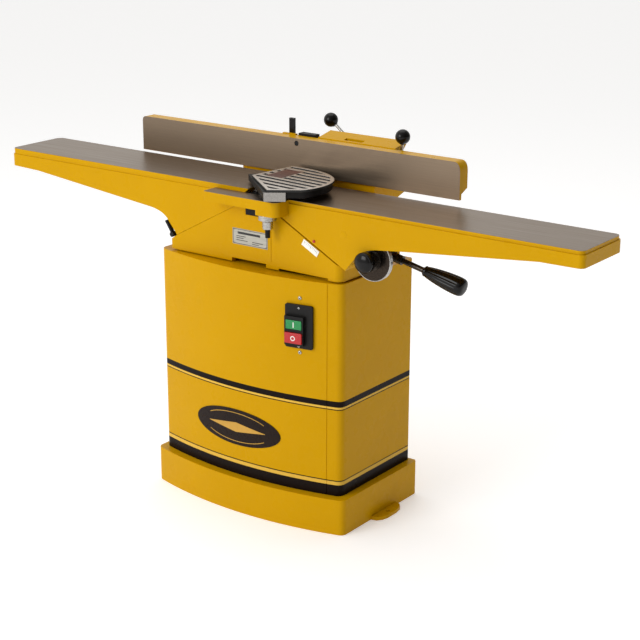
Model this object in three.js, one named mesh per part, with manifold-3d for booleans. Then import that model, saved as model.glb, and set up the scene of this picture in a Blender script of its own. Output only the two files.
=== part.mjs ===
// A 6 inch long-bed jointer on a closed sheet-steel stand.
// Millimetres, +Z up. +X is the infeed side, -Y is where the operator stands.
// Inside this file the tables' front edge is y = 0 and the bed's middle is x = 0.
import * as THREE from 'three';
import { mergeVertices } from 'three/addons/utils/BufferGeometryUtils.js';
import Module from 'manifold-3d';

const wasm = await Module();
wasm.setup();

// ---------------------------------------------------------------- driving dimensions
const GAP = 0.3;                       // clearance between pieces that touch
const TABLE_TOP = 804;                 // outfeed table above the floor
const CUT_DEPTH = 9.5;                 // how far the infeed table is set below it
const INFEED_TOP = TABLE_TOP - CUT_DEPTH;
const TABLE_HALF = 838;                // half of the 1676 mm (66 inch) bed
const TABLE_WIDTH = 178;
const WAY_ANGLE = THREE.MathUtils.degToRad(28.2);
const WAY_SLOPE = Math.tan(WAY_ANGLE);
const CUTTER = { x: -24, z: 773, r: 29, y0: 22, y1: 174 };
const RAISE = CUT_DEPTH / Math.sin(WAY_ANGLE);          // slide that brings the infeed table level
const INFEED_SHIFT = RAISE * Math.cos(WAY_ANGLE);
const BASE = { x0: -287, x1: 229, y1: 196, z0: 620 };
const CABINET = { x0: -317, x1: 235, y1: 295, z0: 90.3, z1: 616.7, bow: 39, wall: 4, round: 16 };
const PLINTH = { x0: -330, x1: 255, y0: -18, y1: 300, z1: 90, bow: 43, wall: 5, round: 14 };
const FENCE = { x0: -542, x1: 424, y: 188.5, z0: 806, z1: 894, plate: 9, rim: 34 };
const HINGE = { y: 196, z: 818, r: 2.6 };               // the fence's tilt axis, just behind its face
const EAR_X = [-18, 128];                               // middles of the carriage's two hinge ears
const SUPPORT = { x0: -215, x1: 185, y0: 197, y1: 385, top: 804 };
const CARRIAGE = { x0: -35, x1: 150, y0: 217, y1: 362, z0: 804.4, z1: 815.4 };
const INDEX = { x: -89, z: 880, behind: 14.2 };  // its axis and its gap behind the fence
const SLOT_X = 60;                                      // middle of the carriage's guide slot
const POST = { x: 38, y: -25, block: 36, sleeve: 34 };  // the guard's upright axis, its block and sleeve
const LEVER = { x: 305, z: 685 };                       // the infeed lever's axis, along Y
const MOTOR = { x: -24, z: 235, r: 80 };
const PULLEY = { y: 219, cutter: 28, motor: 40 };
const DUST = { y: 92, z: 430, r: 50 };
const SWITCH = { x: 131, z: 505 };
const SEAM_X = 199;                                     // where the cabinet's front sheet meets its corner
const GUARD_FRONT = [62.5, -71.5];                      // the guard body's front corner, foremost of all
const MID_Y = (GUARD_FRONT[1] + SUPPORT.y1) / 2;        // the whole machine's middle, front to back

// ---------------------------------------------------------------- solids and booleans
function solid(geometry) {
  const bare = geometry.index ? geometry.toNonIndexed() : geometry.clone();
  bare.deleteAttribute('normal');
  bare.deleteAttribute('uv');
  const merged = mergeVertices(bare, 1e-4);
  return new wasm.Manifold(new wasm.Mesh({
    numProp: 3,
    vertProperties: new Float32Array(merged.attributes.position.array),
    triVerts: new Uint32Array(merged.index.array),
  }));
}

function join(...parts) {
  return parts.reduce((sum, part) => sum.add(part));
}

function cut(body, ...tools) {
  return tools.reduce((rest, tool) => rest.subtract(tool), body);
}

function geometryOf(body) {
  const mesh = body.getMesh();
  const geometry = new THREE.BufferGeometry();
  geometry.setAttribute('position', new THREE.BufferAttribute(new Float32Array(mesh.vertProperties), 3));
  geometry.setIndex(new THREE.BufferAttribute(new Uint32Array(mesh.triVerts), 1));
  geometry.computeVertexNormals();
  return geometry;
}

function box(x0, x1, y0, y1, z0, z1) {
  const geometry = new THREE.BoxGeometry(x1 - x0, y1 - y0, z1 - z0);
  geometry.translate((x0 + x1) / 2, (y0 + y1) / 2, (z0 + z1) / 2);
  return solid(geometry);
}

// A round bar or cone between two points.
function rod(from, to, r0, r1 = r0, sides = 24) {
  const a = new THREE.Vector3(...from);
  const b = new THREE.Vector3(...to);
  const along = b.clone().sub(a);
  const geometry = new THREE.CylinderGeometry(r1, r0, along.length(), sides);
  const turn = new THREE.Quaternion().setFromUnitVectors(new THREE.Vector3(0, 1, 0), along.normalize());
  geometry.applyQuaternion(turn);
  const middle = a.add(b).multiplyScalar(0.5);
  geometry.translate(middle.x, middle.y, middle.z);
  return solid(geometry);
}

function ball(centre, r) {
  const geometry = new THREE.SphereGeometry(r, 20, 12);
  geometry.translate(...centre);
  return solid(geometry);
}

function outline(points) {
  return new THREE.Shape(points.map(([a, b]) => new THREE.Vector2(a, b)));
}

function extrude(shape, depth, curveSegments = 12) {
  const form = Array.isArray(shape) ? outline(shape) : shape;
  return new THREE.ExtrudeGeometry(form, { depth, bevelEnabled: false, curveSegments });
}

// An (x, z) outline carried from y0 to y1.
function prismY(shape, y0, y1) {
  const geometry = extrude(shape, y1 - y0);
  geometry.rotateX(Math.PI / 2);
  geometry.translate(0, y1, 0);
  return solid(geometry);
}

// A (y, z) outline carried from x0 to x1.
function prismX(shape, x0, x1) {
  const geometry = extrude(shape, x1 - x0);
  geometry.applyMatrix4(new THREE.Matrix4().makeBasis(
    new THREE.Vector3(0, 1, 0), new THREE.Vector3(0, 0, 1), new THREE.Vector3(1, 0, 0)));
  geometry.translate(x0, 0, 0);
  return solid(geometry);
}

// An (x, y) outline carried from z0 to z1.
function prismZ(shape, z0, z1, curveSegments = 12) {
  const geometry = extrude(shape, z1 - z0, curveSegments);
  geometry.translate(0, 0, z0);
  return solid(geometry);
}

// A piece turned about the Y axis, from [radius, y] points.
function turned(profile, sides = 32) {
  return new THREE.LatheGeometry(profile.map(([r, h]) => new THREE.Vector2(r, h)), sides);
}

// A rectangle with its corners rounded by one radius each: front left, front right, back right, back left.
function roundedPlan(x0, x1, y0, y1, radii) {
  const [a, b, c, d] = radii;
  const shape = new THREE.Shape();
  shape.moveTo(x0 + a, y0);
  shape.lineTo(x1 - b, y0);
  if (b) shape.absarc(x1 - b, y0 + b, b, -Math.PI / 2, 0);
  shape.lineTo(x1, y1 - c);
  if (c) shape.absarc(x1 - c, y1 - c, c, 0, Math.PI / 2);
  shape.lineTo(x0 + d, y1);
  if (d) shape.absarc(x0 + d, y1 - d, d, Math.PI / 2, Math.PI);
  shape.lineTo(x0, y0 + a);
  if (a) shape.absarc(x0 + a, y0 + a, a, Math.PI, Math.PI * 1.5);
  return shape;
}

// ---------------------------------------------------------------- materials and nodes
const finish = (color, roughness, metalness) => new THREE.MeshStandardMaterial({ color, roughness, metalness });
const ENAMEL = finish(0xd0a000, 0.35, 0.1);
const GROUND_IRON = finish(0x8a7e74, 0.35, 0.9);
const DARK_IRON = finish(0x26231f, 0.5, 0.5);
const STEEL = finish(0xa8a8a8, 0.3, 1.0);
const BLACK_PLASTIC = finish(0x141414, 0.3, 0.0);
const RUBBER = finish(0x1c1c1c, 0.8, 0.0);
const GREEN = finish(0x0a8a3c, 0.4, 0.0);
const RED = finish(0xc01818, 0.4, 0.0);
const WHITE = finish(0xe8e8e0, 0.5, 0.0);

const machine = new THREE.Group();
machine.position.set(0, -MID_Y, 0);

function node(name, material, body, parent = machine) {
  const geometry = body.isBufferGeometry ? body : geometryOf(body);
  const mesh = new THREE.Mesh(geometry, material);
  mesh.name = name;
  parent.add(mesh);
  return mesh;
}

// ---------------------------------------------------------------- stand
// Plan outline of the stand: a rectangle whose front is bowed out towards the operator, with its corners eased.
function bowedPlan({ x0, x1, y0 = 0, y1, bow, round }, inset = 0) {
  const left = x0 + inset;
  const right = x1 - inset;
  const middle = (x0 + x1) / 2;
  const half = (x1 - x0) / 2;
  const radius = (half * half + bow * bow) / (2 * bow);
  const centreY = y0 - bow + radius;
  const r = radius - inset;
  const corner = Math.asin((right - middle) / r);
  const cornerY = centreY - r * Math.cos(corner);
  const ease = round - inset;
  const angle = corner - ease / r;
  const shape = new THREE.Shape();
  shape.absarc(middle, centreY, r, -Math.PI / 2 - angle, -Math.PI / 2 + angle, false);
  shape.quadraticCurveTo(right, cornerY, right, cornerY + ease);
  shape.lineTo(right, y1 - inset - 6);
  shape.lineTo(right - 6, y1 - inset);
  shape.lineTo(left + 6, y1 - inset);
  shape.lineTo(left, y1 - inset - 6);
  shape.lineTo(left, cornerY + ease);
  shape.quadraticCurveTo(left, cornerY, middle - r * Math.sin(angle), centreY - r * Math.cos(angle));
  return shape;
}

function frontOfCabinet(x) {
  const middle = (CABINET.x0 + CABINET.x1) / 2;
  const half = (CABINET.x1 - CABINET.x0) / 2;
  const radius = (half * half + CABINET.bow ** 2) / (2 * CABINET.bow);
  return radius - CABINET.bow - Math.sqrt(radius ** 2 - (x - middle) ** 2);
}

function makeStand() {
  const top = PLINTH.z1;
  const pan = cut(
    prismZ(bowedPlan(PLINTH), 0, top, 14),
    prismZ(bowedPlan(PLINTH, PLINTH.wall), -1, top - 6, 14));
  node('plinth', ENAMEL, pan);
  for (const [side, x, dir] of [['left', PLINTH.x0, -1], ['right', PLINTH.x1, 1]]) {
    const edge = [[GAP, 98], [14, 102], [24, 114], [28, 132], [28, 168], [24, 190], [14, 203], [GAP, 207]];
    const plan = edge.map(([out, y]) => [x + dir * out, y]);
    const lug = prismZ(dir > 0 ? plan : plan.reverse(), 0, 9);
    const hole = rod([x + dir * 15, 150, -1], [x + dir * 15, 150, 12], 5.5);
    node(`floor_lug_${side}`, ENAMEL, cut(lug, hole));
  }
  const { z0, z1, wall, y1, x0 } = CABINET;
  const shell = cut(
    prismZ(bowedPlan(CABINET), z0, z1, 14),
    prismZ(bowedPlan(CABINET, wall), z0 - 1, z1 - 4, 14),
    box(-72, 24, 38, 146, z1 - 10, z1 + 1),
    box(-68, 20, 203, 238, z1 - 10, z1 + 1),
    box(-190, 110, y1 - 10, y1 + 1, 150, 470),
    box(SEAM_X - 0.7, SEAM_X + 0.7, -60, frontOfCabinet(SEAM_X) + 1.4, z0 - 1, z1 + 1),
    rod([x0 - 5, DUST.y, DUST.z], [x0 + 15, DUST.y, DUST.z], DUST.r + 0.5, DUST.r + 0.5, 32));
  node('cabinet', ENAMEL, shell);
  node('rear_access_panel', ENAMEL, box(-205, 125, y1 + GAP, y1 + 3, 135, 485));
}

function makeSwitch() {
  const y = frontOfCabinet(SWITCH.x);
  const turn = Math.asin((SWITCH.x - (CABINET.x0 + CABINET.x1) / 2)
    / (((CABINET.x1 - CABINET.x0) / 2) ** 2 / (2 * CABINET.bow) + CABINET.bow / 2));
  const group = new THREE.Group();
  group.position.set(SWITCH.x, y - 1.2, SWITCH.z);
  group.rotation.z = turn;
  machine.add(group);
  const housing = cut(
    join(prismY(roundedPlan(-36, 36, -53, 53, [5, 5, 5, 5]), -5, 0), box(-33, 16, -15, -4, -44, 26)),
    box(-29.5, 12.5, -16, -9, -5.5, 17.5),
    box(-31.5, 14, -16, -9, -39.5, -12.5));
  node('switch_box', BLACK_PLASTIC, housing, group);
  node('start_button', GREEN, box(-29, 12, -16.5, -12.5, -5, 17), group);
  node('stop_button', RED, box(-31, 13.5, -19.5, -12.5, -39, -13), group);
}

function makeChipPath() {
  const { z1, x0, wall } = CABINET;
  const inner = x0 + wall + GAP;
  // The duct drops under the cutterhead, then slopes to the port on the stand's left side.
  const duct = (t) => prismY([
    [-74 + t, 645], [-74 + t, 585], [inner + (t ? -1 : 0), 495 - t], [inner + (t ? -1 : 0), 370 + t],
    [26 - t, 530 + t * 0.6], [26 - t, 645]], 40 + t, 144 - t);
  const low = duct(0).intersect(box(-400, 100, 0, 200, 300, z1 - 4 - GAP));
  const throat = join(low, box(-70, 22, 42, 142, z1 - 30, z1 + 2));
  const hollow = join(duct(2.5), box(-67.5, 19.5, 44.5, 139.5, 580, 700));
  node('chip_chute', ENAMEL, cut(throat, hollow));
  const collar = cut(
    join(
      rod([x0 - 28, DUST.y, DUST.z], [x0 - GAP, DUST.y, DUST.z], DUST.r, DUST.r, 32),
      rod([x0 - 4, DUST.y, DUST.z], [x0 - GAP, DUST.y, DUST.z], DUST.r + 14, DUST.r + 14, 32)),
    rod([x0 - 50, DUST.y, DUST.z], [x0 + 10, DUST.y, DUST.z], DUST.r - 3, DUST.r - 3, 32));
  node('dust_port', DARK_IRON, collar);
}

function makeMotor() {
  const { x, z, r } = MOTOR;
  const frame = join(
    rod([x, 22, z], [x, 188, z], r, r, 28),
    rod([x, 12, z], [x, 198, z], r - 12, r - 12, 28),
    box(x - 60, x + 60, 45, 165, z - r - 6, z - r + 20));
  node('motor_body', DARK_IRON, cut(frame, rod([x, 5, z], [x, 205, z], 9.6)));
  const mount = join(
    box(x - 95, x + 95, 30, 180, z - r - 14, z - r - 6 - GAP),
    ...[-1, 1].map((s) => box(x + s * 84 - 6, x + s * 84 + 6, 30, 180, PLINTH.z1 + GAP, z - r - 10)));
  node('motor_mount', DARK_IRON, mount);
  node('motor_terminal_box', DARK_IRON, box(x + 62, x + 120, 70, 140, z + 56, z + 100).subtract(
    rod([x, 0, z], [x, 220, z], r + GAP, r + GAP, 28)));
}

// A grooved belt pulley: a turned piece with a bore, its middle at the belt's plane.
function pulleyGeometry(radius, bore, half = 11) {
  const groove = 9;
  return turned([
    [bore, -half], [radius, -half], [radius, -half + 3], [radius - groove, -3], [radius - groove, 3],
    [radius, half - 3], [radius, half], [bore, half], [bore, -half]]);
}

function makeBelt() {
  const top = { x: CUTTER.x, z: CUTTER.z, r: PULLEY.cutter };
  const bottom = { x: MOTOR.x, z: MOTOR.z, r: PULLEY.motor };
  const loop = (inset) => {
    const a = top.r - inset;
    const b = bottom.r - inset;
    const lean = Math.asin((b - a) / (top.z - bottom.z));
    const shape = new THREE.Shape();
    shape.absarc(bottom.x, bottom.z, b, Math.PI - lean, Math.PI * 2 + lean, false);
    shape.absarc(top.x, top.z, a, lean, Math.PI - lean, false);
    return shape;
  };
  const face = PULLEY.y;
  node('v_belt', RUBBER, cut(
    prismY(loop(0.5), face - 3.6, face + 3.6),
    prismY(loop(6), face - 5, face + 5)));
}

function makeBeltGuard() {
  const { x } = CUTTER;
  const outer = box(x - 46, x + 46, 200, 240, CABINET.z1 + GAP, 790);
  const inner = box(x - 43, x + 43, 198, 237, CABINET.z1 - 5, 800);
  node('belt_guard', ENAMEL, cut(outer, inner));
}

// ---------------------------------------------------------------- base and ways
const outfeedWay = (x) => 747 + WAY_SLOPE * (x + 98);
const infeedWay = (x) => 751 - WAY_SLOPE * (x - 50);

// An outline in (y, height above the way) carried down one of the inclined ways, starting above x.
function alongWay(points, side, x, length, rise = 0) {
  const angle = side * WAY_ANGLE;
  const down = new THREE.Vector3(Math.cos(angle), 0, -Math.sin(angle));
  const normal = new THREE.Vector3(Math.sin(angle), 0, Math.cos(angle));
  const geometry = extrude(points, length);
  geometry.applyMatrix4(new THREE.Matrix4().makeBasis(new THREE.Vector3(0, 1, 0), normal, down));
  const z = side > 0 ? infeedWay(x) : outfeedWay(x);
  geometry.translate(x + normal.x * rise, 0, z + normal.z * rise);
  return solid(geometry);
}

const RAIL = [[64, -4], [114, -4], [114, 0], [120, 12], [58, 12], [64, 0]];
const GROOVE = [[62, -9], [127, -9], [127, 0], [127, 12.6], [57.4, 12.6], [63.7, 0], [62, -1]];
const GIB = [[114.7, 0.6], [126.7, 0.6], [126.7, 12.2], [120.6, 12.2]];

function makeBase() {
  const { x0, x1, y1, z0 } = BASE;
  const side = prismY([
    [x0, z0], [x1, z0], [x1, infeedWay(x1)], [12, infeedWay(12)], [-60, outfeedWay(-60)],
    [x0 + 22, outfeedWay(x0 + 22)], [x0, 643]], 0.2, y1);
  const wall = 14;
  const trough = box(-75, 27, 20, 176, z0 - 5, 900);
  const leftRoom = prismY([
    [x0 + wall, z0 - 5], [-89, z0 - 5], [-89, outfeedWay(-89) - 22],
    [x0 + 42, outfeedWay(x0 + 42) - 22], [x0 + wall, z0 + 4]], wall, y1 - wall)
    .subtract(box(-186, -176, 0, y1, z0 - 10, 900));
  const rightRoom = prismY([
    [41, z0 - 5], [x1 - wall, z0 - 5], [x1 - wall, z0 + 6], [41, infeedWay(41) - 22]], wall, y1 - wall)
    .subtract(box(123, 133, 0, y1, z0 - 10, 900));
  const saddle = box(CUTTER.x - 24.3, CUTTER.x + 24.3, -5, y1 + 5, 740.7, 900);
  const corners = prismZ(roundedPlan(x0, x1, 0.2, y1, [8, 18, 8, 8]), z0 - 1, 800, 8);
  const foot = box(x0 + 12, x1 - 12, 12, y1 - 12, CABINET.z1 + GAP, z0 + 2);
  const notch = box(-92, 12, -5, 40, z0 - 5, z0 + 9);
  const relief = box(50, x1 - 36, -5, 11.5, z0 - 5, z0 + 4.6);
  const body = cut(
    join(side.intersect(corners), foot, alongWay(RAIL, 1, 40, 206), alongWay(RAIL, -1, -262, 188)),
    trough, leftRoom, rightRoom, saddle, notch, relief,
    box(27.3, 28.7, -1, 1.6, 637, 712),
    box(x0 + 12 + wall, x1 - 12 - wall, 12 + wall, y1 - 12 - wall, z0 - 10, z0 + 1));
  node('base_casting', ENAMEL, body);
}

function makeCutterhead() {
  const group = new THREE.Group();
  group.position.set(CUTTER.x, 0, CUTTER.z);
  machine.add(group);
  const { y0, y1, r } = CUTTER;
  const barrel = join(
    rod([0, y0, 0], [0, y1, 0], r, r, 36),
    rod([0, 2, 0], [0, 232, 0], 9.6, 9.6, 24),
    rod([0, 18.4, 0], [0, 177, 0], 13, 13, 24));
  const turns = [0, 1, 2].map((i) => i * Math.PI * 2 / 3);
  // Each knife sits in a slot cut square across the rim, clamped by a gib.
  const slot = box(-8, 3.2, y0 - 5, y1 + 5, 13, 40);
  const slots = turns.map((a) => slot.rotate([0, THREE.MathUtils.radToDeg(a), 0]));
  node('cutterhead', STEEL, cut(barrel, ...slots), group);
  turns.forEach((angle, i) => {
    const holder = new THREE.Group();
    holder.rotation.y = angle;
    group.add(holder);
    const blade = prismY([[-0.2, 13.3], [2.9, 13.3], [2.9, 29.4], [1.9, 30.8], [-0.2, 30.8 - 1.2]],
      y0 + 0.5, y1 - 0.5);
    node(`knife_${i + 1}`, STEEL, blade, holder);
    const gib = prismY([[-7.7, 13.3], [-0.5, 13.3], [-0.5, 27], [-3, 26], [-7.7, 26]], y0 + 1, y1 - 1);
    node(`knife_gib_${i + 1}`, DARK_IRON, gib, holder);
  });
  const wheel = node('cutterhead_pulley', STEEL, pulleyGeometry(PULLEY.cutter, 9.9), group);
  wheel.position.y = PULLEY.y;

  for (const [place, a, b] of [['front', 0.4, 17.6], ['rear', 178.2, 195.5]]) {
    const block = cut(
      box(CUTTER.x - 24, CUTTER.x + 24, a, b, 741, 793),
      rod([CUTTER.x, a - 3, CUTTER.z], [CUTTER.x, b + 3, CUTTER.z], 17.5, 17.5, 32));
    node(`${place}_bearing_block`, DARK_IRON, block);
    const ring = turned([[9.9, 0], [17.2, 0], [17.2, 12], [9.9, 12], [9.9, 0]]);
    const bearing = node(`${place}_bearing`, STEEL, ring);
    bearing.position.set(CUTTER.x, a + 2.5, CUTTER.z);
  }
}

function makeMotorShaft() {
  const group = new THREE.Group();
  group.position.set(MOTOR.x, 0, MOTOR.z);
  machine.add(group);
  node('motor_shaft', STEEL, rod([0, 8, 0], [0, 232, 0], 9.3), group);
  const wheel = node('motor_pulley', DARK_IRON, pulleyGeometry(PULLEY.motor, 9.6), group);
  wheel.position.y = PULLEY.y;
}

// ---------------------------------------------------------------- tables
const PLATE = 18;                                       // thickness of a table's top
const OUTFEED = {
  side: -1, top: TABLE_TOP, lip: -42, wayGap: 0.4, edge: 15, back: 2, toe: -266,
  under: [[-838, 758], [-742, 755], [-512, 732], [-350, 716]], bend: [-306, 711, -291, 688],
  pockets: [[-826, -690], [-678, -542], [-530, -394], [-382, -312]],
};
const INFEED = {
  side: 1, top: INFEED_TOP, lip: -6 + INFEED_SHIFT, wayGap: 4, edge: 9, back: 2.5, toe: 242,
  under: [[838, 757], [735, 756], [386, 721], [325, 714]], bend: [282, 708, 264, 680],
  pockets: [[690, 826], [542, 678], [394, 530], [250, 382]],
};

function tableCasting({ side, top, lip, wayGap, edge, back, toe, under, bend, pockets }) {
  const way = (x) => (side > 0 ? infeedWay(x) : outfeedWay(x)) + wayGap;
  const shape = new THREE.Shape();
  shape.moveTo(side * TABLE_HALF, top);
  for (const [x, z] of under) shape.lineTo(x, z);
  shape.quadraticCurveTo(...bend);
  shape.lineTo(toe + side * 2, way(toe) + 4);
  shape.lineTo(toe, way(toe));
  shape.lineTo(lip + side * 22.5, way(lip + side * 22.5));
  shape.lineTo(lip + side * 20, top - 19);
  shape.lineTo(lip, top - 3);
  shape.lineTo(lip, top);
  const ends = [Math.min(side * TABLE_HALF, lip), Math.max(side * TABLE_HALF, lip)];
  const corners = side > 0 ? [0, 12, 14, 0] : [12, 0, 0, 16];
  // The ground top's edge stands back a little from the casting below it.
  const plan = roundedPlan(ends[0], ends[1], 0, TABLE_WIDTH, corners);
  const topPlan = roundedPlan(
    ends[0] + (side < 0 ? back : 0), ends[1] - (side > 0 ? back : 0), back, TABLE_WIDTH - back, corners);
  const lower = prismZ(plan, 500, top - edge, 6);
  const upper = prismZ(topPlan, top - edge - 1, top + 5, 6);
  const casting = prismY(shape, -1, TABLE_WIDTH + 1).intersect(join(lower, upper));
  const rooms = pockets.map(([x0, x1]) => box(x0, x1, 12, TABLE_WIDTH - 12, 500, top - PLATE));
  const groove = alongWay(GROOVE, side, side > 0 ? 15 : -290, 290);
  return cut(casting, ...rooms, groove);
}

function makeOutfeedTable() {
  node('outfeed_table', GROUND_IRON, tableCasting(OUTFEED));
  node('outfeed_gib', DARK_IRON, alongWay(GIB, -1, -258, 200));
  // The lock handle lies along the table's toe, on a stem that runs in under the casting.
  const x = -284;
  const z = 655;
  node('outfeed_lock_handle', BLACK_PLASTIC, join(
    rod([x, 8, z], [x - 17, 5, z + 34], 5, 6.5, 12),
    rod([x, 1, z], [x, 18, z], 6.5, 6.5, 16)));
}

function makeInfeedTable() {
  const top = INFEED_TOP;
  const ledge = join(
    prismZ(roundedPlan(-137, 60, -47, -1, [3, 0, 0, 0]), top - 24, top),
    prismZ(roundedPlan(16, 80, -47, -1, [6, 18, 0, 0]), top - POST.block, top, 8),
    box(48, 80, -3, 4, top - 30, top));
  const [earBottom, earTop] = [LEVER.z - 18, top - PLATE + 1];
  const ears = [36, 98].map((y) => box(LEVER.x - 16, LEVER.x + 16, y - 6, y + 6, earBottom, earTop));
  const body = cut(
    join(tableCasting(INFEED), ledge, ...ears),
    rod([POST.x, POST.y, 700], [POST.x, POST.y, 900], 8.5, 8.5, 24),
    rod([LEVER.x, 20, LEVER.z], [LEVER.x, 120, LEVER.z], 12.4, 12.4, 24));
  node('infeed_table', GROUND_IRON, body);
  node('infeed_gib', DARK_IRON, alongWay(GIB, 1, 40, 200));
  node('depth_pointer', RED, rod([154, -2.6, 707.5], [154, -GAP, 707.5], 3.6, 3.6, 16));
  const scale = node('depth_scale', WHITE, box(-25, 25, -1, 0, -8, 8));
  scale.position.set(143.5, -0.2, 690);
  scale.rotation.y = WAY_ANGLE;
  const sleeve = turned([
    [8.4, 0], [12, 0], [12.6, 18], [15, 20.5], [22, 22], [22, POST.sleeve], [8.4, POST.sleeve], [8.4, 0]]);
  sleeve.rotateX(Math.PI / 2);
  const guardSleeve = node('guard_sleeve', STEEL, sleeve);
  guardSleeve.position.set(POST.x, POST.y, top - POST.block - GAP - POST.sleeve);
}

function makeInfeedLever() {
  const group = new THREE.Group();
  group.position.set(LEVER.x, 0, LEVER.z);
  group.rotation.y = THREE.MathUtils.degToRad(12.7);
  machine.add(group);
  const hub = join(
    rod([0, -2, 0], [0, 108, 0], 12, 12, 28),
    rod([0, -2, 0], [0, 14, 0], 19, 19, 28),
    rod([0, 15, 0], [0, 25, 0], 50, 50, 40),
    rod([0, 13, 0], [0, 28, 0], 24, 24, 28),
    rod([0, 67, 0], [0, 91, 0], 19, 19, 28),
    rod([0, 79, 0], [42, 79, 0], 11, 11, 20));
  node('infeed_lever_hub', DARK_IRON, hub, group);
  node('infeed_lever_arm', STEEL, rod([42 + GAP, 79, 0], [102, 79, 0], 6.5, 6.5, 20), group);
  const grip = turned([
    [0, 0], [10, 0], [13, 5], [17, 25], [20.5, 55], [21.8, 82], [21, 99], [16, 107], [0, 109]], 24);
  grip.rotateZ(-Math.PI / 2);
  const handle = node('infeed_lever_grip', BLACK_PLASTIC, grip, group);
  handle.position.set(102 + GAP, 79, 0);
  const dome = turned([[0, 0], [13, 0], [24, 4], [24, 15], [20, 21], [9, 25], [0, 26]], 32);
  dome.rotateX(Math.PI);
  const knob = node('infeed_lock_knob', BLACK_PLASTIC, dome, group);
  knob.position.y = -2 - GAP;
}

// ---------------------------------------------------------------- guard
const GUARD_Z = 808.6;                                  // underside, clear of the outfeed table when lowered
const GUARD_TOP = 823.3;                                // top of the body, under the ribbed plate

// The ribbed plate's plan. It shrinks about a point near its middle, so that an inset follows the edge.
function guardPlan(inset) {
  const [cx, cy] = [45, 62];
  const k = 1 - inset / 100;
  const at = (x, y) => [cx + (x - cx) * k, cy + (y - cy) * k];
  const shape = new THREE.Shape();
  shape.moveTo(...at(-54, 34));
  shape.lineTo(...at(70.5, -67.4));
  shape.lineTo(...at(133, -23));
  shape.bezierCurveTo(...at(158, 5), ...at(160, 76), ...at(125, 118));
  shape.bezierCurveTo(...at(98, 150), ...at(52, 169), ...at(6, 171.5));
  shape.lineTo(...at(-38, 171.5));
  return shape;
}

function makeGuard() {
  const [x, y] = [POST.x, POST.y];
  node('guard_post', DARK_IRON, join(
    rod([x, y, 703], [x, y, 725], 6, 6, 20),
    rod([x, y, 722], [x, y, GUARD_Z - 1.5], 8, 8, 24)));
  // The body reaches out past the plate on the side that covers the knives, and has a deep machined front.
  const wing = prismZ([[-84, 57], GUARD_FRONT, [80, -59], [0, 70], [-70, 76]], GUARD_Z, GUARD_TOP);
  const pad = prismZ([GUARD_FRONT, [104.5, -41.5], [90, -18], [40, -46]], 801, GUARD_Z + 1);
  const body = join(
    prismZ(guardPlan(4), GUARD_Z, GUARD_TOP, 8),
    rod([x, y, INFEED_TOP + 1], [x, y, GUARD_Z + 2], 16, 16, 24),
    wing,
    pad);
  node('guard_body', DARK_IRON, cut(body, rod([x, y, 780], [x, y, GUARD_Z - 1], 8.4, 8.4, 24)));
  const slots = [];
  for (let row = 0; row < 11; row += 1) {
    const middle = -62 + row * 24;
    slots.push(box(-100, 200, middle - 6.4, middle + 6.4, 826.8, 835).rotate([0, 0, -5]));
  }
  const field = prismZ(guardPlan(9), 820, 835, 8);
  const panel = box(-28, 25, 46, 136, 800, 840);
  const grooves = join(...slots).intersect(field).subtract(panel);
  node('guard_top_plate', STEEL, cut(prismZ(guardPlan(0), GUARD_TOP + GAP, 829.3, 8), grooves));
}

// ---------------------------------------------------------------- fence
function makeFence() {
  const { x0, x1, y, z0, z1, plate, rim } = FENCE;
  const face = new THREE.Shape();
  face.moveTo(x0, z0);
  face.lineTo(x1, z0);
  face.lineTo(x1, z1 - 26);
  face.quadraticCurveTo(x1, z1, x1 - 18, z1);
  face.lineTo(x0 + 12, z1);
  face.quadraticCurveTo(x0, z1, x0, z1 - 12);
  const block = prismY(face, y, y + rim);
  const back = y + plate;
  const hollow = cut(
    box(x0 + 10, x1 - 10, back, y + rim + 1, z0 + 35, z1 - 10),
    box(x0 - 5, x0 + 20, back, back + 20, z1 - 20, z1));
  const under = prismX([[back, z0 - 5], [y + rim + 5, z0 - 5], [y + rim + 5, z0 + 26], [back, z0 + 13]],
    x0 - 5, x1 + 5);
  // The lower rib is cut away over the carriage, so that the fence can lean back to 45 degrees.
  const relief = prismX([[back, z0 - 5], [y + rim + 5, z0 - 5], [y + rim + 5, z0 + 52], [back, z0 + 22]],
    CARRIAGE.x0 - 6, CARRIAGE.x1 + 6);
  const notches = EAR_X.map((x) => prismX([
    [190.6, z0 - 2], [217, z0 - 2], [217, 852], [197.5, 834], [190.6, 829]], x - 12.6, x + 12.6));
  const cheeks = EAR_X.flatMap((x) => [-1, 1].map((s) => {
    const inner = x + s * 12.6;
    const outer = x + s * 22;
    return prismX([[back - 1, 810], [201, 811], [204, 815], [204, 823], [201, 832], [back - 1, 833]],
      Math.min(inner, outer), Math.max(inner, outer));
  }));
  const bores = EAR_X.map((x) => rod([x - 18, HINGE.y, HINGE.z], [x + 18, HINGE.y, HINGE.z], 2.9, 2.9, 16));
  const boltHole = rod([-40, y - 5, 882], [-40, y + 40, 882], 6.6, 6.6, 20);
  const easedFoot = prismX([[y - 1, z0 - 1], [y + 2, z0 - 1], [y - 1, z0 + 2]], x0 - 5, x1 + 5);
  const bare = cut(block, hollow, under, relief, easedFoot);
  const body = cut(join(bare, ...cheeks), ...notches, ...bores, boltHole);
  node('fence', GROUND_IRON, body);
}

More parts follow.
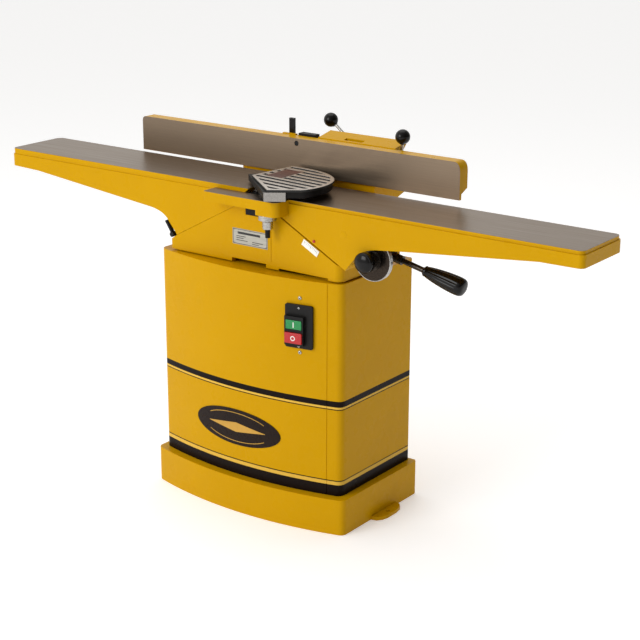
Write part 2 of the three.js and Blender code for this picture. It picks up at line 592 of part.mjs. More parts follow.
function makeFenceBracket() {
  const back = FENCE.y + FENCE.rim + GAP;
  const side = [[197.8, 846], [216, 846], [274, 904], [274, 906], [back, 896], [back, 883.7], [197.8, 883.7]];
  const room = [[203, 852], [213.5, 852], [258, 896.5], [back + 5, 890.5], [back + 5, 878], [203, 878]];
  const ribs = [[8, 70], [78, 142], [150, 217]];
  const body = cut(
    prismX(side, 0, 225),
    ...ribs.map(([a, b]) => prismX(room, a, b)),
    box(72, 126, back + 6, back + 19, 886, 912),
    ...ribs.map(([a, b]) => prismX([[214, 830], [262, 876], [254, 893], [206, 852]], a + 8, b - 8)));
  node('fence_bracket', ENAMEL, body);
  node('fence_stop_block', STEEL, cut(
    box(-60, -10, back, back + 20, 872, 900),
    rod([-40, 200, 882], [-40, 260, 882], 6.6, 6.6, 20)));
  node('fence_stop_bolt', BLACK_PLASTIC, join(
    rod([-40, FENCE.y + 0.6, 882], [-40, back + 24, 882], 6.3, 6.3, 20),
    rod([-40, back + 20 + GAP, 882], [-40, back + 28, 882], 9, 9, 6)));
  const { x, z } = INDEX;
  const y = back + INDEX.behind;
  node('index_lever', BLACK_PLASTIC, join(
    box(x - 7, x + 7, y - 4, y + 4, z - 8, z + 52),
    rod([x - 8, y, z], [x + 8, y, z], 9, 9, 20)));
  node('index_lever_boss', ENAMEL, cut(
    join(box(x - 20, x + 20, back, back + 8.2, z - 16, z + 16), ...[-1, 1].map((s) => box(
      x + s * 14 - 5.4, x + s * 14 + 5.4, back + 2, y + 8, z - 10, z + 10))),
    rod([x - 8.4, y, z], [x + 8.4, y, z], 9.5, 9.5, 20)));
}

function makeLockLevers() {
  // The tilt lock's hub stands on the bracket's right end; its arm leans out past the fence.
  const tilt = { x: 232, y: 238, z: 876 };
  node('tilt_lock_lever', STEEL, join(
    rod([225 + GAP, tilt.y, tilt.z], [241, tilt.y, tilt.z], 9, 9, 20),
    rod([tilt.x, tilt.y, tilt.z], [238, 233, 914], 4.2, 3.6, 12)));
  node('tilt_lock_knob', BLACK_PLASTIC, cut(
    ball([239, 232, 924], 18),
    rod([tilt.x, tilt.y, tilt.z], [239, 232, 920], 5.6, 5.2, 12)));
  // The slide lock's bolt goes down through the carriage into the support's slot.
  const y = 345;
  node('slide_lock_lever', STEEL, join(
    rod([SLOT_X, y, CARRIAGE.z1 + GAP], [SLOT_X, y, 836], 11, 10, 20),
    rod([SLOT_X, y, 829], [-36, 341, 908], 4.2, 3.6, 12)));
  node('slide_lock_knob', BLACK_PLASTIC, cut(
    ball([-47, 340, 916.5], 18),
    rod([SLOT_X, y, 829], [-44, 340.2, 915], 5.6, 5.2, 12)));
}

function makeFenceCarriage() {
  const { x0, x1, y0, y1, z0, z1 } = CARRIAGE;
  const ears = EAR_X.map((x) => join(
    rod([x - 12, HINGE.y, HINGE.z], [x + 12, HINGE.y, HINGE.z], 5, 5, 20),
    box(x - 12, x + 12, HINGE.y, y0 + 4, HINGE.z - 5, HINGE.z + 5),
    box(x - 12, x + 12, y0 - 1, y0 + 18, z0, HINGE.z + 5)));
  const bores = EAR_X.map((x) => rod([x - 20, HINGE.y, HINGE.z], [x + 20, HINGE.y, HINGE.z], 2.9, 2.9, 16));
  const body = join(
    prismZ(roundedPlan(x0, x1, y0, y1, [4, 4, 20, 20]), z0, z1, 6),
    box(SLOT_X - 8.7, SLOT_X + 8.7, y1 - 27, y1 - 4, z0 - 9, z0 + 1),
    ...ears);
  node('fence_carriage', ENAMEL, cut(body, ...bores));
  for (const [side, x] of [['left', EAR_X[0]], ['right', EAR_X[1]]]) {
    const pin = rod([x - 17, HINGE.y, HINGE.z], [x + 17, HINGE.y, HINGE.z], HINGE.r, HINGE.r, 16);
    node(`fence_hinge_pin_${side}`, STEEL, pin);
  }
}

function makeFenceSupport() {
  const { x0, x1, y0, y1, top } = SUPPORT;
  const plate = prismZ(roundedPlan(x0, x1, y0, y1, [2, 2, 24, 24]), top - 12, top, 6);
  const web = (x) => prismX([[y0, top - 70], [y0 + 12, top - 70], [y1 - 20, top - 24], [y1 - 20, top - 11],
    [y0, top - 11]], x - 6, x + 6);
  const flange = cut(
    box(x0, x1, y0, y0 + 10, top - 80, top - 6),
    box(CUTTER.x - 48, CUTTER.x + 48, y0 - 5, y0 + 20, top - 100, top + 5));
  const body = cut(
    join(plate, flange, web(x0 + 6), web(-100), web(122), web(x1 - 6)),
    box(SLOT_X - 9, SLOT_X + 9, y0 + 4, y1 - 12, top - 20, top + 5),
    box(CUTTER.x - 48, CUTTER.x + 48, y0 - 5, 242, top - 100, top + 5));
  node('fence_support', ENAMEL, body);
}

function makeGland() {
  const x = -250;
  node('cable_gland', BLACK_PLASTIC, join(
    rod([x, CABINET.y1 + GAP, 160], [x, CABINET.y1 + 6, 160], 13, 13, 6),
    rod([x, CABINET.y1 + 5, 160], [x, CABINET.y1 + 20, 160], 9, 7, 20)));
}

makeStand();
makeSwitch();
makeChipPath();
makeMotor();
makeMotorShaft();
makeBelt();
makeBeltGuard();
makeBase();
makeCutterhead();
makeOutfeedTable();
makeInfeedTable();
makeInfeedLever();
makeGuard();
makeFence();
makeFenceBracket();
makeLockLevers();
makeFenceCarriage();
makeFenceSupport();
makeGland();

export default machine;
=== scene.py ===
import math

import bpy
from mathutils import Matrix, Vector


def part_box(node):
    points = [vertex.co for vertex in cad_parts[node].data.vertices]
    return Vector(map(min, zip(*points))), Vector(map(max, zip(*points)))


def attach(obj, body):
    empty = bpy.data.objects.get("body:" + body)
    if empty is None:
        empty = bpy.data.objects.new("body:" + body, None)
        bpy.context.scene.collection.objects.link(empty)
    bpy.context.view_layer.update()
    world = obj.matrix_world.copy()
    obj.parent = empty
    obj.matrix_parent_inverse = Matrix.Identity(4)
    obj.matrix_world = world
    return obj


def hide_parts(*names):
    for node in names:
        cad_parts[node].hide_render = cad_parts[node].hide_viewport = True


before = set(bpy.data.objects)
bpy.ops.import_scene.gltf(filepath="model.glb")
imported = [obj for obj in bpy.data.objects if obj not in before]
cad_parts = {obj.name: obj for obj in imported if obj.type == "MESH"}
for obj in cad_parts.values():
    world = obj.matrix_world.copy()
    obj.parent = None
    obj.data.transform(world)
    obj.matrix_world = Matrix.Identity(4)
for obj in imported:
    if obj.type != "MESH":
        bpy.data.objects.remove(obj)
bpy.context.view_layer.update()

# Lengths are in millimetres until they reach a mesh. Only the camera, the lamps and the floor are
# in metres. +X is the infeed side, -Y is the operator's side.
midY = 156.75  # from the front edge of the tables to the middle of the machine
upward = (0, 0, 1)
rightward = (1, 0, 0)
frontward = (0, -1, 0)
backward = (0, 1, 0)


def point(x, y, z):
    return Vector((x, y - midY, z)) / 1000  # y is measured back from the tables' front edge


def perMetre(sizeMm):
    return 1000.0 / sizeMm  # how often a pattern of this size repeats in a metre


def linearColour(hexText):
    parts = [int(hexText[i:i + 2], 16) / 255 for i in (1, 3, 5)]
    return [p / 12.92 if p <= 0.04045 else ((p + 0.055) / 1.055) ** 2.4 for p in parts] + [1.0]


def addNode(tree, kind, settings=None, links=None):
    node = tree.nodes.new(kind)
    for name, value in (settings or {}).items():
        if isinstance(name, int) or name in node.inputs:
            node.inputs[name].default_value = value
        else:
            setattr(node, name, value)
    for name, source in (links or {}).items():
        tree.links.new(source, node.inputs[name])
    return node


# The camera stands in front and to the infeed side, a little above the tables. Its angles are
# in radians.
cameraSettings = {
    "place": (2.2455, -2.9738, 1.6392),
    "lensMm": 88.85,
    "turn": 0.6347,
    "down": 0.3093,
    "roll": 0.0027,
}


def makeCamera(s):
    data = bpy.data.cameras.new("camera")
    data.lens = s["lensMm"]
    data.sensor_width = 36.0
    data.clip_end = 100.0
    camera = bpy.data.objects.new("camera", data)
    bpy.context.scene.collection.objects.link(camera)
    level = math.cos(s["down"])
    ahead = Vector((-math.sin(s["turn"]) * level, math.cos(s["turn"]) * level, -math.sin(s["down"])))
    right = Vector((math.cos(s["turn"]), math.sin(s["turn"]), 0.0))
    up = right.cross(ahead)
    sideways = right * math.cos(s["roll"]) + up * math.sin(s["roll"])
    upright = up * math.cos(s["roll"]) - right * math.sin(s["roll"])
    turned = Matrix((sideways, upright, -ahead)).transposed().to_4x4()
    camera.matrix_world = Matrix.Translation(s["place"]) @ turned
    bpy.context.scene.camera = camera


# A white floor, a bright room and two soft lamps: one from the front, one from above.
studio = {
    "floorColour": "#FAFAFB",
    "floorGlow": 0.27,
    "floorHalf": 30.0,
    "worldColour": "#FBFAF7",
    "worldStrength": {"outfeedSide": 1.05, "infeedSide": 0.12},
    "aim": (0.0, 0.0, 0.55),
    "lamps": {
        "keyLight": {"place": (-1.2, -4.0, 2.4), "size": 2.2, "watts": 82},
        "topLight": {"place": (-0.4, 0.6, 3.6), "size": 2.6, "watts": 30},
    },
}


# The room is bright towards the outfeed end and falls off towards the infeed end, so the
# infeed end of the stand stays in shade.
def makeStudio(s):
    bpy.context.scene.view_settings.view_transform = "Standard"
    world = bpy.data.worlds.new("studioWorld")
    world.use_nodes = True
    tree = world.node_tree
    direction = addNode(tree, "ShaderNodeTexCoord").outputs["Generated"]
    way = addNode(tree, "ShaderNodeSeparateXYZ", links={0: direction})
    fall = addNode(tree, "ShaderNodeMapRange", {
        "From Min": -0.5, "From Max": 0.9,
        "To Min": s["worldStrength"]["outfeedSide"], "To Max": s["worldStrength"]["infeedSide"],
    }, {"Value": way.outputs[0]})
    background = tree.nodes["Background"]
    background.inputs["Color"].default_value = linearColour(s["worldColour"])
    tree.links.new(fall.outputs[0], background.inputs["Strength"])
    bpy.context.scene.world = world
    for name, lamp in s["lamps"].items():
        data = bpy.data.lights.new(name, "AREA")
        data.shape = "SQUARE"
        data.size = lamp["size"]
        data.energy = lamp["watts"]
        light = bpy.data.objects.new(name, data)
        bpy.context.scene.collection.objects.link(light)
        light.location = lamp["place"]
        aim = Vector(s["aim"]) - Vector(lamp["place"])
        light.rotation_euler = aim.to_track_quat("-Z", "Y").to_euler()
    mesh = bpy.data.meshes.new("studioFloor")
    half = s["floorHalf"]
    corners = [(-half, -half, 0), (half, -half, 0), (half, half, 0), (-half, half, 0)]
    mesh.from_pydata(corners, [], [(0, 1, 2, 3)])
    floor = bpy.data.objects.new("studioFloor", mesh)
    bpy.context.scene.collection.objects.link(floor)
    material = bpy.data.materials.new("studioPaper")
    material.use_nodes = True
    shader = material.node_tree.nodes["Principled BSDF"]
    shader.inputs["Base Color"].default_value = linearColour(s["floorColour"])
    shader.inputs["Roughness"].default_value = 0.9
    # The floor glows a little, as a lit table does, so the ground stays white.
    shader.inputs["Emission Color"].default_value = linearColour(s["floorColour"])
    shader.inputs["Emission Strength"].default_value = s["floorGlow"]
    mesh.materials.append(material)


makeCamera(cameraSettings)
makeStudio(studio)
print("camera and studio made")


# Finishes.
def startMaterial(name):
    material = bpy.data.materials.new(name)
    material.use_nodes = True
    tree = material.node_tree
    shader = tree.nodes["Principled BSDF"]
    place = addNode(tree, "ShaderNodeTexCoord").outputs["Object"]
    return material, tree, shader, place


def mottledColour(tree, place, light, dark, sizeMm, stretch=(1, 1, 1)):
    spread = addNode(tree, "ShaderNodeMapping", {"Scale": stretch}, {"Vector": place})
    noise = addNode(tree, "ShaderNodeTexNoise",
                    {"Scale": perMetre(sizeMm), "Detail": 4.0, "Roughness": 0.6},
                    {"Vector": spread.outputs[0]})
    steps = addNode(tree, "ShaderNodeMapRange", {"From Min": 0.3, "From Max": 0.7},
                    {"Value": noise.outputs[0]})
    mix = addNode(tree, "ShaderNodeMix", {"data_type": "RGBA"}, {0: steps.outputs[0]})
    mix.inputs[6].default_value = linearColour(dark)
    mix.inputs[7].default_value = linearColour(light)
    return mix.outputs[2]


def mixColour(tree, mask, first, second):
    mix = addNode(tree, "ShaderNodeMix", {"data_type": "RGBA"}, {0: mask})
    for slot, value in ((6, first), (7, second)):
        if isinstance(value, str):
            mix.inputs[slot].default_value = linearColour(value)
        else:
            tree.links.new(value, mix.inputs[slot])
    return mix.outputs[2]


def mixNumber(tree, mask, first, second):
    mix = addNode(tree, "ShaderNodeMix", {"data_type": "FLOAT"}, {0: mask})
    for slot, value in ((2, first), (3, second)):
        if isinstance(value, (int, float)):
            mix.inputs[slot].default_value = value
        else:
            tree.links.new(value, mix.inputs[slot])
    return mix.outputs[0]


def uneven(tree, place, low, high, sizeMm, stretch=(1, 1, 1)):
    spread = addNode(tree, "ShaderNodeMapping", {"Scale": stretch}, {"Vector": place})
    noise = addNode(tree, "ShaderNodeTexNoise", {"Scale": perMetre(sizeMm), "Detail": 3.0},
                    {"Vector": spread.outputs[0]})
    ranged = addNode(tree, "ShaderNodeMapRange",
                     {"From Min": 0.3, "From Max": 0.7, "To Min": low, "To Max": high},
                     {"Value": noise.outputs[0]})
    return ranged.outputs[0]


def grainBump(tree, place, sizeMm, depthMm, stretch=(1, 1, 1), strength=1.0):
    spread = addNode(tree, "ShaderNodeMapping", {"Scale": stretch}, {"Vector": place})
    noise = addNode(tree, "ShaderNodeTexNoise", {"Scale": perMetre(sizeMm), "Detail": 3.0},
                    {"Vector": spread.outputs[0]})
    bump = addNode(tree, "ShaderNodeBump", {"Strength": strength, "Distance": depthMm / 1000},
                   {"Height": noise.outputs[0]})
    return bump.outputs[0]


def compare(tree, first, second, operation="GREATER_THAN"):
    return addNode(tree, "ShaderNodeMath", {"operation": operation, 1: second}, {0: first}).outputs[0]


def connect(tree, shader, colour, roughness, bump, metallic=0.0):
    values = {"Base Color": colour, "Roughness": roughness, "Normal": bump, "Metallic": metallic}
    for name, value in values.items():
        if isinstance(value, (int, float)):
            shader.inputs[name].default_value = value
        else:
            tree.links.new(value, shader.inputs[name])


enamel = {
    "light": "#C69500",
    "dark": "#C29100",
    "patchMm": 220,
    "peelMm": 2.6,
    "peelDepthMm": 0.03,
    "glossPatchMm": 35,
    "roughness": (0.24, 0.33),
    "shine": 0.06,
}
groundIron = {
    "tables": ("#7F7060", "#75675A"),
    "fence": ("#8D7C69", "#837362"),
    "markMm": 1.6,
    "scratchMm": 1.2,
    "scratchDepthMm": 0.02,
    "glossPatchMm": 2.2,
    "cloudMm": 240,
    "along": (0.012, 1, 1),
    "roughness": (0.30, 0.42),
    "metallic": 0.92,
    "edgeMm": 0.7,
}
bandColour = "#170F0C"
lineColour = "#D8AE45"


# Stove enamel, sprayed over castings and sheet: a warm even gloss with faint orange peel.
def enamelParts(tree, place):
    colour = mottledColour(tree, place, enamel["light"], enamel["dark"], enamel["patchMm"])
    roughness = uneven(tree, place, *enamel["roughness"], enamel["glossPatchMm"])
    bump = grainBump(tree, place, enamel["peelMm"], enamel["peelDepthMm"], strength=0.35)
    return colour, roughness, bump


def goldEnamel():
    material, tree, shader, place = startMaterial("goldEnamel")
    connect(tree, shader, *enamelParts(tree, place))
    shader.inputs["Specular IOR Level"].default_value = enamel["shine"]
    return material


# The cabinet's enamel carries two dark painted bands, each with a fine line beside it.
def bandedEnamel(bands, lines):
    material, tree, shader, place = startMaterial("bandedEnamel")
    colour, roughness, bump = enamelParts(tree, place)
    height = addNode(tree, "ShaderNodeSeparateXYZ", links={0: place}).outputs[2]
    for paint, strips in ((lineColour, lines), (bandColour, bands)):
        for low, high in strips:
            inside = addNode(tree, "ShaderNodeMath", {
                "operation": "COMPARE", 1: (low + high) / 2000, 2: (high - low) / 2000}, {0: height})
            colour = mixColour(tree, inside.outputs[0], colour, paint)
    connect(tree, shader, colour, roughness, bump)
    shader.inputs["Specular IOR Level"].default_value = enamel["shine"]
    return material


# Cast iron ground flat: dull brown-grey metal with fine marks along its length.
# The rest of the casting is enamel. axis is 1 for a face across Y and 2 for a face across Z.
def partGround(name, axis, level, above, metalColours):
    iron = groundIron
    material, tree, shader, place = startMaterial(name)
    colour, roughness, bump = enamelParts(tree, place)
    reach = addNode(tree, "ShaderNodeSeparateXYZ", links={0: place}).outputs[axis]
    mask = compare(tree, reach, level, "GREATER_THAN" if above else "LESS_THAN")
    metal = mottledColour(tree, place, *metalColours, iron["markMm"], iron["along"])
    cloud = uneven(tree, place, 0.0, 0.6, iron["cloudMm"])
    metal = mixColour(tree, cloud, metal, metalColours[1])
    metalRoughness = uneven(tree, place, *iron["roughness"], iron["glossPatchMm"], iron["along"])
    marks = grainBump(tree, place, iron["scratchMm"], iron["scratchDepthMm"], iron["along"], 0.5)
    side = addNode(tree, "ShaderNodeMix", {"data_type": "VECTOR"}, {0: mask, 4: bump, 5: marks})
    connect(tree, shader, mixColour(tree, mask, colour, metal),
            mixNumber(tree, mask, roughness, metalRoughness),
            side.outputs[1], mixNumber(tree, mask, 0.0, iron["metallic"]))
    shader.inputs["Specular IOR Level"].default_value = enamel["shine"]
    return material


# A plain finish: its two colours, how rough it is, and how big and deep its grain is.
def plainFinish(name, light, dark, roughness, grainMm, depthMm, metallic=0.0, patchMm=60,
                stretch=(1, 1, 1), shine=0.5):
    material, tree, shader, place = startMaterial(name)
    connect(tree, shader, mottledColour(tree, place, light, dark, patchMm, stretch),
            uneven(tree, place, roughness[0], roughness[1], grainMm * 6, stretch),
            grainBump(tree, place, grainMm, depthMm, stretch, 0.5), metallic)
    if not metallic:
        shader.inputs["Specular IOR Level"].default_value = shine
    return material


# The guard's plate: polished on its ribs, black paint left in the grooves and on its edge.
def ribbedPlate(topMm):
    material, tree, shader, place = startMaterial("ribbedAluminium")
    height = addNode(tree, "ShaderNodeSeparateXYZ", links={0: place}).outputs[2]
    mask = compare(tree, height, (topMm - 0.5) / 1000)
    across = (1, 0.03, 1)
    metal = mottledColour(tree, place, "#D9D2CB", "#B9B1AA", 1.4, across)
    connect(tree, shader, mixColour(tree, mask, "#0E0C0B", metal), mixNumber(tree, mask, 0.55, 0.28),
            grainBump(tree, place, 1.2, 0.02, across, 0.4), mixNumber(tree, mask, 0.0, 0.9))
    return material


# How far up each table is enamel, how far back the fence is ground iron, and the guard's top.
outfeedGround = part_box("outfeed_table")[1].z - groundIron["edgeMm"] / 1000
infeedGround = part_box("infeed_table")[1].z - groundIron["edgeMm"] / 1000
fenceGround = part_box("fence")[0].y + groundIron["edgeMm"] / 1000
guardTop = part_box("guard_top_plate")[1].z * 1000

finishes = {
    "goldEnamel": goldEnamel(),
    "bandedEnamel": bandedEnamel(bands=[(316, 330.5), (80, 118.3), (127.4, 130.0), (308.4, 310.8)],
                                 lines=[(118.3, 127.4), (310.8, 316)]),
    "outfeedIron": partGround("outfeedIron", 2, outfeedGround, True, groundIron["tables"]),
    "infeedIron": partGround("infeedIron", 2, infeedGround, True, groundIron["tables"]),
    "fenceIron": partGround("fenceIron", 1, fenceGround, False, groundIron["fence"]),
    # Sand-cast iron under black paint: dark, with a coarse skin.
    "blackCasting": plainFinish("blackCasting", "#120F0D", "#0B0908", (0.42, 0.58), 1.6, 0.12,
                                shine=0.18),
    # Blackened steel, polished before it was blued: dark, but it mirrors what is near it.
    "blackenedSteel": plainFinish("blackenedSteel", "#3B342D", "#2E2823", (0.22, 0.34), 1.0, 0.02,
                                  0.75),
    # Polished steel with the table's shade painted into its colour: a dark base colour, dark and bright
    # by turns.
    "polishedSteelPaintedShade": plainFinish("polishedSteelPaintedShade", "#3A322B", "#2C2622", (0.22, 0.34), 0.8, 0.02,
                                     1.0, 3),
    # Turned steel, left bright: rings of tool marks catch the light.
    "turnedSteel": plainFinish("turnedSteel", "#B9B7B3", "#94918D", (0.20, 0.34), 0.6, 0.02, 1.0, 3,
                               (0.2, 1, 1)),
    # High-speed steel, surface ground: a clean grey shine with marks one way.
    "groundKnifeSteel": plainFinish("groundKnifeSteel", "#A8A49F", "#8F8B86", (0.16, 0.26), 0.5, 0.01,
                                    1.0, 2, (1, 0.05, 1)),
    # Phenolic knobs: moulded, hard gloss, nearly black.
    "glossPhenolic": plainFinish("glossPhenolic", "#0C0A09", "#070606", (0.12, 0.2), 3.0, 0.01,
                                 shine=0.22),
    # Moulded ABS with a fine spark texture: soft highlights on the switch box.
    "satinPlastic": plainFinish("satinPlastic", "#151312", "#0E0D0C", (0.36, 0.46), 0.8, 0.03,
                                shine=0.2),
    # Moulded ABS, coloured right through and glossy.
    "greenButton": plainFinish("greenButton", "#0E8A45", "#0B7C3D", (0.22, 0.3), 2.0, 0.02),
    "redButton": plainFinish("redButton", "#C0141B", "#AC1017", (0.22, 0.3), 2.0, 0.02),
    # Wrapped rubber: matt, with the weave of its cloth cover.
    "beltRubber": plainFinish("beltRubber", "#1E1D1C", "#161514", (0.7, 0.85), 1.0, 0.1),
    # White paint on the scale and in the buttons' signs: flat and even.
    "whitePaint": plainFinish("whitePaint", "#F1F0EA", "#E6E4DC", (0.4, 0.5), 1.5, 0.02),
    # Printed ink, and painted shade for the screws' cross recesses: matt black, hardly raised.
    "blackInkAndRecessShade": plainFinish("blackInkAndRecessShade", "#151413", "#0F0E0D", (0.45, 0.55), 1.0, 0.01),
    "ribbedAluminium": ribbedPlate(guardTop),
    # Stamped aluminium for the nameplate: satin, rolled in one direction.
    "rolledAluminium": plainFinish("rolledAluminium", "#B4B1A6", "#A09D93", (0.36, 0.48), 0.8, 0.02,
                                   0.75, 2, (0.05, 1, 1)),
    # Lacquered foil on the stand: a dark brown ground with dull gold printed on it.
    "badgeBrown": plainFinish("badgeBrown", "#21150F", "#1A100C", (0.24, 0.34), 2.0, 0.02, shine=0.12),
    "badgeGold": plainFinish("badgeGold", "#C99A3A", "#B68A30", (0.28, 0.36), 1.5, 0.02, 0.3),
    # A printed foil label with nothing on it, worn to a dull red-brown.
    "labelFoil": plainFinish("labelFoil", "#5A2A20", "#3F2019", (0.34, 0.46), 1.2, 0.02, shine=0.3),
    # Zinc-plated steel: pale, slightly blotchy and bright.
    "zincScrew": plainFinish("zincScrew", "#C4C3BE", "#A9A7A2", (0.25, 0.36), 0.7, 0.02, 1.0, 3),
}
print("finishes made:", len(finishes))

# Each CAD piece's finish, and how wide its edges are eased, in millimetres.
nodeFinish = {
    "goldEnamel": {
        "plinth": 2.5, "floor_lug_left": 1.2, "floor_lug_right": 1.2, "rear_access_panel": 0.8,
        "chip_chute": 0.5, "belt_guard": 1.0, "base_casting": 1.2, "fence_support": 1.5,
        "fence_bracket": 1.5, "fence_carriage": 1.2, "index_lever_boss": 0.8,
    },
    "bandedEnamel": {"cabinet": 1.6},
    "outfeedIron": {"outfeed_table": 1.2},
    "infeedIron": {"infeed_table": 1.2},
    "fenceIron": {"fence": 1.0},
    "blackCasting": {
        "dust_port": 0.6, "motor_body": 2.0, "motor_mount": 1.0, "motor_terminal_box": 1.5,
        "outfeed_gib": 0.3, "infeed_gib": 0.3, "front_bearing_block": 0.8, "rear_bearing_block": 0.8,
        "knife_gib_1": 0.3, "knife_gib_2": 0.3, "knife_gib_3": 0.3, "motor_pulley": 0.4,
        "guard_post": 0.6, "guard_body": 1.0, "fence_stop_block": 0.8,
    },
    "blackenedSteel": {"infeed_lever_hub": 1.0, "infeed_lever_arm": 0.6},
    "turnedSteel": {
        "front_bearing": 0.4, "rear_bearing": 0.4, "cutterhead": 0.5, "cutterhead_pulley": 0.4,
        "motor_shaft": 0.5, "guard_sleeve": 0.6, "tilt_lock_lever": 0.5, "slide_lock_lever": 0.5,
        "fence_hinge_pin_left": 0.3, "fence_hinge_pin_right": 0.3,
    },
    "groundKnifeSteel": {"knife_1": 0.1, "knife_2": 0.1, "knife_3": 0.1},
    "glossPhenolic": {
        "outfeed_lock_handle": 0.8, "infeed_lever_grip": 1.0, "infeed_lock_knob": 1.0,
        "fence_stop_bolt": 0.5, "index_lever": 1.0, "tilt_lock_knob": 0.5, "slide_lock_knob": 0.5,
        "cable_gland": 0.6,
    },
    "satinPlastic": {"switch_box": 1.2},
    "greenButton": {"start_button": 1.2},
    "redButton": {"stop_button": 1.2, "depth_pointer": 0.5},
    "beltRubber": {"v_belt": 0.6},
    "whitePaint": {"depth_scale": 0.2},
    "ribbedAluminium": {"guard_top_plate": 0.4},
}


# Joins the CAD mesh's seams, clears its flat faces and rounds its edges.
def easeEdges(piece, widthMm):
    weld = piece.modifiers.new("joinSeams", "WELD")
    weld.merge_threshold = 0.00002
    flat = piece.modifiers.new("cleanFlats", "DECIMATE")
    flat.decimate_type = "DISSOLVE"
    flat.angle_limit = math.radians(0.4)
    bevel = piece.modifiers.new("easedEdges", "BEVEL")
    bevel.width = widthMm / 1000
    bevel.segments = 2
    bevel.limit_method = "ANGLE"
    bevel.angle_limit = math.radians(38)
    bevel.use_clamp_overlap = True
    even = piece.modifiers.new("evenNormals", "WEIGHTED_NORMAL")
    even.keep_sharp = True


for finishName, pieces in nodeFinish.items():
    for nodeName, width in pieces.items():
        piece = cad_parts[nodeName]
        piece.data.materials.clear()
        piece.data.materials.append(finishes[finishName])
        piece.data.shade_smooth()
        easeEdges(piece, width)
print("CAD pieces finished")


# New pieces: each rides on one body, and some stand in for a CAD node.
def addPiece(name, verts, faces, finishName, body, smooth=True, replaced=()):
    mesh = bpy.data.meshes.new(name)
    mesh.from_pydata([tuple(v) for v in verts], [], faces)
    mesh.materials.append(finishes[finishName])
    if smooth:
        mesh.shade_smooth()
    piece = bpy.data.objects.new(name, mesh)
    bpy.context.scene.collection.objects.link(piece)
    if replaced:
        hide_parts(*replaced)
    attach(piece, body)
    return piece


# A turned shape: (radius, height) points round an axis that begins at start. flute, if given,
# scales the radius by height and angle.
def turnedPiece(name, profile, start, axis, finishName, body, sides=48, flute=None,
                replaced=()):
    axis = Vector(axis).normalized()
    side = axis.orthogonal().normalized()
    other = axis.cross(side)
    verts, faces = [], []
    for r, h in profile:
        for i in range(sides):
            angle = 2 * math.pi * i / sides
            radius = r * (flute(h, angle) if flute else 1.0)
            outward = side * math.cos(angle) + other * math.sin(angle)
            verts.append(start + (axis * h + outward * radius) / 1000)
    for k in range(len(profile) - 1):
        for i in range(sides):
            j = (i + 1) % sides
            faces.append((k * sides + i, k * sides + j, (k + 1) * sides + j, (k + 1) * sides + i))
    faces.append(tuple(reversed(range(sides))))
    faces.append(tuple(range((len(profile) - 1) * sides, len(profile) * sides)))
    piece = addPiece(name, verts, faces, finishName, body, True, replaced)
    piece.data.set_sharp_from_angle(angle=math.radians(40))
    return piece


# A flat outline raised along a normal: corners in a plane given by an origin and two directions.
def raisedPlate(name, corners, origin, across, up, thickness, finishName, body, ease=0.0):
    across, up = Vector(across).normalized(), Vector(up).normalized()
    out = across.cross(up)
    flat = [origin + (across * a + up * b) / 1000 for a, b in corners]
    verts = flat + [v + out * thickness / 1000 for v in flat]
    n = len(corners)
    faces = [tuple(reversed(range(n))), tuple(range(n, 2 * n))]
    faces += [(i, (i + 1) % n, n + (i + 1) % n, n + i) for i in range(n)]
    piece = addPiece(name, verts, faces, finishName, body, False)
    if ease:
        bevel = piece.modifiers.new("easedEdges", "BEVEL")
        bevel.width = ease / 1000
        bevel.segments = 2
        bevel.limit_method = "ANGLE"
    return piece


def rectangle(x0, x1, z0, z1):
    return [(x0, z0), (x1, z0), (x1, z1), (x0, z1)]


# The cabinet's front is an arc in plan, and what lies on it follows the same arc.
cabinet = {"x0": -317.0, "x1": 235.0, "bow": 39.0}
cabinet["middle"] = (cabinet["x0"] + cabinet["x1"]) / 2
cabinet["half"] = (cabinet["x1"] - cabinet["x0"]) / 2
cabinet["radius"] = (cabinet["half"] ** 2 + cabinet["bow"] ** 2) / (2 * cabinet["bow"])


def cabinetFront(x):
    depth = math.sqrt(cabinet["radius"] ** 2 - (x - cabinet["middle"]) ** 2)
    return cabinet["radius"] - cabinet["bow"] - depth


def cabinetTurn(x):
    return math.asin((x - cabinet["middle"]) / cabinet["radius"])


# A thin piece that lies on the bowed front: at each x it runs from a lower to an upper height.
def bowedPatch(name, columns, lift, thickness, finishName):
    verts, faces = [], []
    for x, low, high in columns:
        for depth in (lift, lift + thickness):
            for z in (low, high):
                verts.append(point(x, cabinetFront(x) - depth, z))
    for k in range(len(columns) - 1):
        a, b = k * 4, k * 4 + 4
        faces += [(a + 2, b + 2, b + 3, a + 3), (a + 1, b + 1, b, a)]
        faces += [(a, b, b + 2, a + 2), (a + 3, b + 3, b + 1, a + 1)]
    end = (len(columns) - 1) * 4
    faces += [(0, 2, 3, 1), (end, end + 1, end + 3, end + 2)]
    return addPiece(name, verts, faces, finishName, "stand", False)


# The oval badge carries two arcs and a lozenge instead of a name.
badge = {
    "x": -53.0,
    "z": 214.0,
    "halfWide": 131.0,
    "halfHigh": 46.0,
    "thickness": 1.6,
    "arcScale": 0.80,
    "arcWidth": 1.6,
    "arcStart": 0.2,
    "lozengeHalfWide": 88,
    "lozengeHalfHigh": 12,
    "edge": 0.4,
}


def ellipseColumns(scale, count=40):
    columns = []
    for i in range(count + 1):
        a = math.pi * (1 - i / count)
        x = badge["x"] + badge["halfWide"] * scale * math.cos(a)
        rise = badge["halfHigh"] * scale * math.sin(a)
        columns.append((x, badge["z"] - rise - 0.01, badge["z"] + rise + 0.01))
    return columns


def arcColumns(scale, side, width, start, count=30):
    columns = []
    for i in range(count + 1):
        a = math.pi * (1 - start) - (math.pi * (1 - 2 * start)) * i / count
        x = badge["x"] + badge["halfWide"] * scale * math.cos(a)
        z = badge["z"] + side * badge["halfHigh"] * scale * math.sin(a)
        columns.append((x, z - width / 2, z + width / 2))
    return columns


